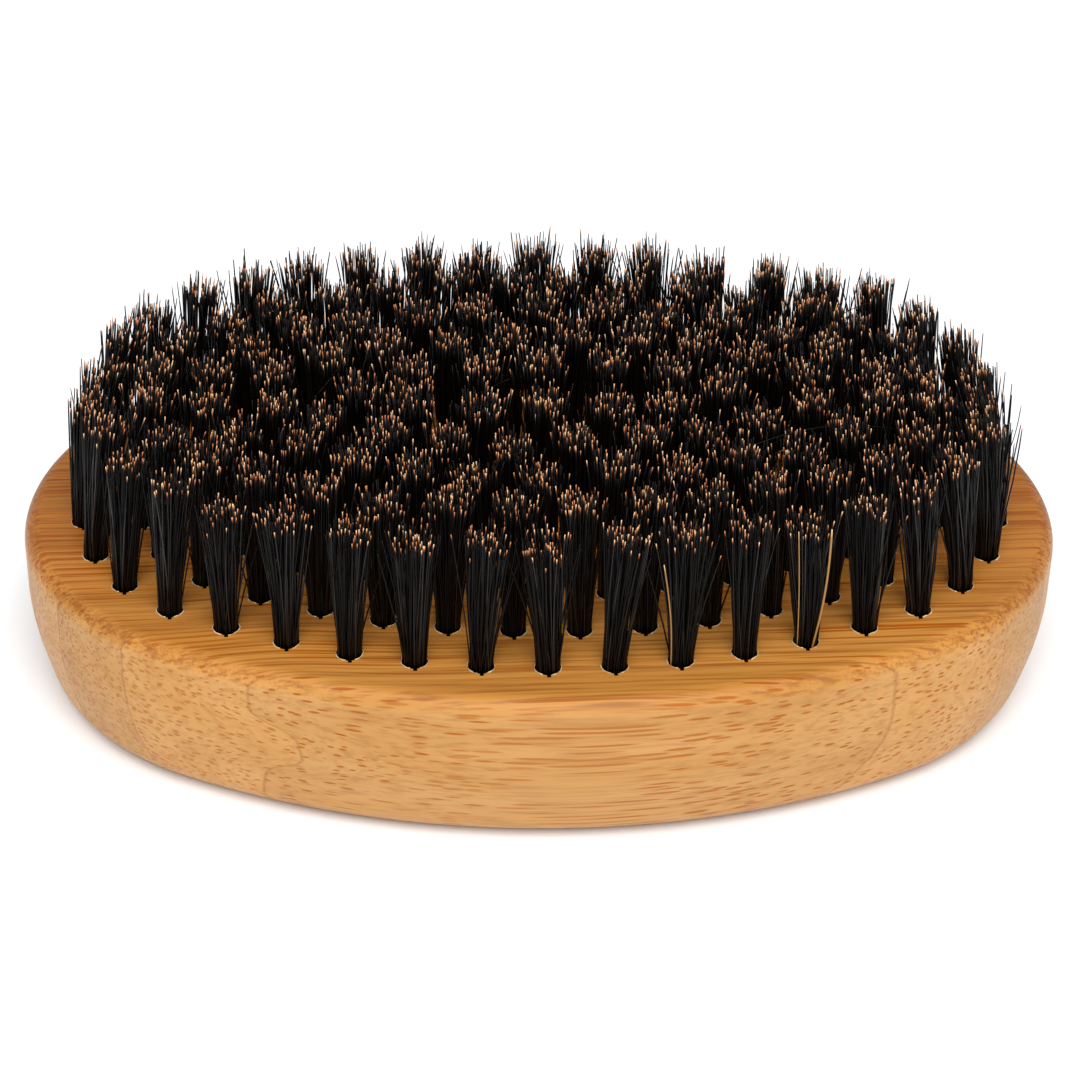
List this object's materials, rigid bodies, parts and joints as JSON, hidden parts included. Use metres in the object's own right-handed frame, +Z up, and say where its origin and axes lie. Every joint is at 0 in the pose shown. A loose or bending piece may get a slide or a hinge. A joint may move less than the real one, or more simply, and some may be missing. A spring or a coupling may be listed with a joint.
{
  "type": "beard brush",
  "caption": "Oval palm-held beard brush: a block of glued bamboo strips with dark natural bristle tufts set in staggered oval rings.",
  "frame": {"origin": "middle of the palm side, the flat face that the brush rests on", "axes": "+X along the block's long axis, +Y across it, +Z up out of the bristle face"},
  "size_m": [0.11, 0.072, 0.0343],
  "materials": {
    "bamboo": "satin, finely sanded bamboo with fibre streaks along the long axis",
    "bristle": "glossy black natural bristle with pale golden tips",
    "anchor": "bare flat wire"
  },
  "bodies": {
    "root": {"bamboo_strip_01": "bamboo", "bamboo_strip_02": "bamboo", "bamboo_strip_03": "bamboo", "bamboo_strip_04": "bamboo", "bamboo_strip_05": "bamboo", "bamboo_strip_06": "bamboo", "bamboo_strip_07": "bamboo", "bamboo_strip_08": "bamboo", "bamboo_strip_09": "bamboo", "bamboo_strip_10": "bamboo", "tufts_ring_1": "bristle", "tufts_ring_2": "bristle", "tufts_ring_3": "bristle", "tufts_ring_4": "bristle", "tufts_ring_5": "bristle", "anchors_ring_1": "anchor", "anchors_ring_2": "anchor", "anchors_ring_3": "anchor", "anchors_ring_4": "anchor", "anchors_ring_5": "anchor"}
  },
  "joints": []
}
